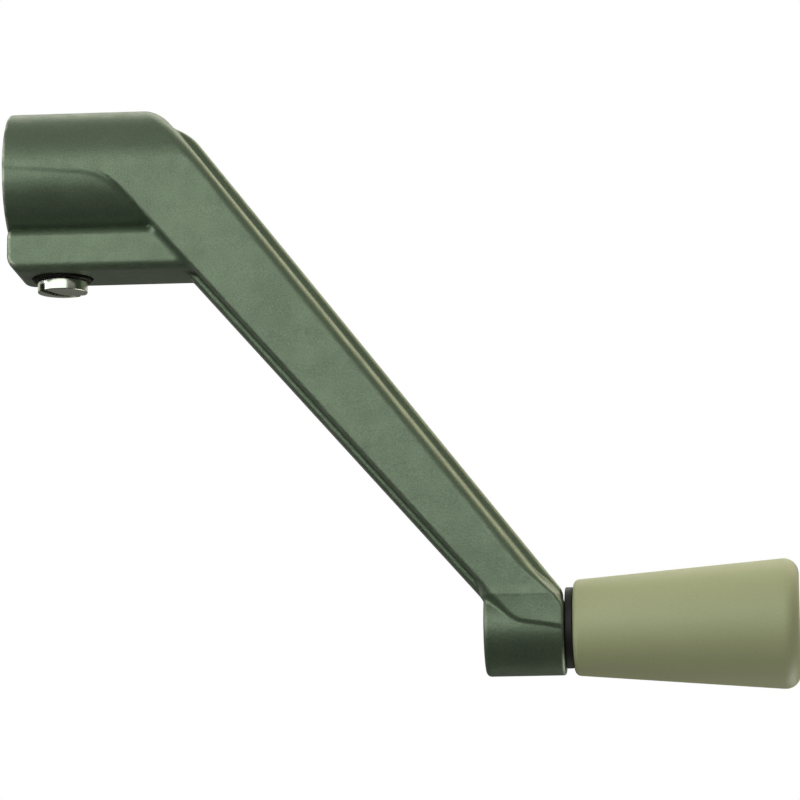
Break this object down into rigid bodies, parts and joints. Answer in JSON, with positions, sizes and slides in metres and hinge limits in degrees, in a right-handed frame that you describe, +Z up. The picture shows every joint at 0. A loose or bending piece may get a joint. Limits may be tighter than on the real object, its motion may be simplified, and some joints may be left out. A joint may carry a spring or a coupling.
{
  "type": "window crank handle",
  "caption": "Cast offset crank handle with a splined clamp socket, a clamp screw and a free-turning tapered knob on a staked spindle.",
  "frame": {"origin": "centre of the splined socket's mouth, on the hub's face", "axes": "+X along the socket's axis into the hub and towards the knob, +Z up, the arm goes down to the knob"},
  "size_m": [0.1116, 0.0192, 0.0852],
  "materials": {
    "cast_arm": "satin olive-grey paint on a zinc casting",
    "knob_plastic": "satin moulded",
    "cap_plastic": "satin moulded",
    "screw_steel": "bright plated",
    "spindle_steel": "turned",
    "inner_washer_steel": "plain",
    "black_nylon": "matte moulded",
    "black_oxide": "dull black oxide"
  },
  "bodies": {
    "arm": {"crank_arm": "cast_arm", "knob_spindle": "spindle_steel"},
    "knob": {"knob_body": "knob_plastic", "knob_end_cap": "cap_plastic"},
    "thrust_ring": {"thrust_washer": "black_nylon"},
    "inner_ring": {"spindle_washer": "inner_washer_steel"},
    "screw_ring": {"screw_washer": "black_oxide"},
    "screw": {"clamp_screw": "screw_steel"}
  },
  "joints": [
    {"name": "knob_spin", "type": "hinge", "parent": "arm", "child": "knob", "pos_m": [0.0961, 0, -0.0663], "axis": [1, 0, 0], "continuous": true},
    {"name": "thrust_ring_spin", "type": "hinge", "parent": "arm", "child": "thrust_ring", "pos_m": [0.0795, 0, -0.0663], "axis": [1, 0, 0], "continuous": true},
    {"name": "inner_ring_spin", "type": "hinge", "parent": "arm", "child": "inner_ring", "pos_m": [0.09655, 0, -0.0663], "axis": [1, 0, 0], "continuous": true},
    {"name": "screw_travel", "type": "slide", "parent": "arm", "child": "screw_ring", "axis": [0, 0, -1], "range_m": [0, 0.00635]},
    {"name": "screw_turn", "type": "hinge", "parent": "screw_ring", "child": "screw", "pos_m": [0.0075, 0, -0.014], "axis": [0, 0, -1], "range_deg": [0, 2880]}
  ],
  "couplings": [
    {"joint": "screw_turn", "follows": "screw_travel", "rad_per_m": 7913.3}
  ]
}
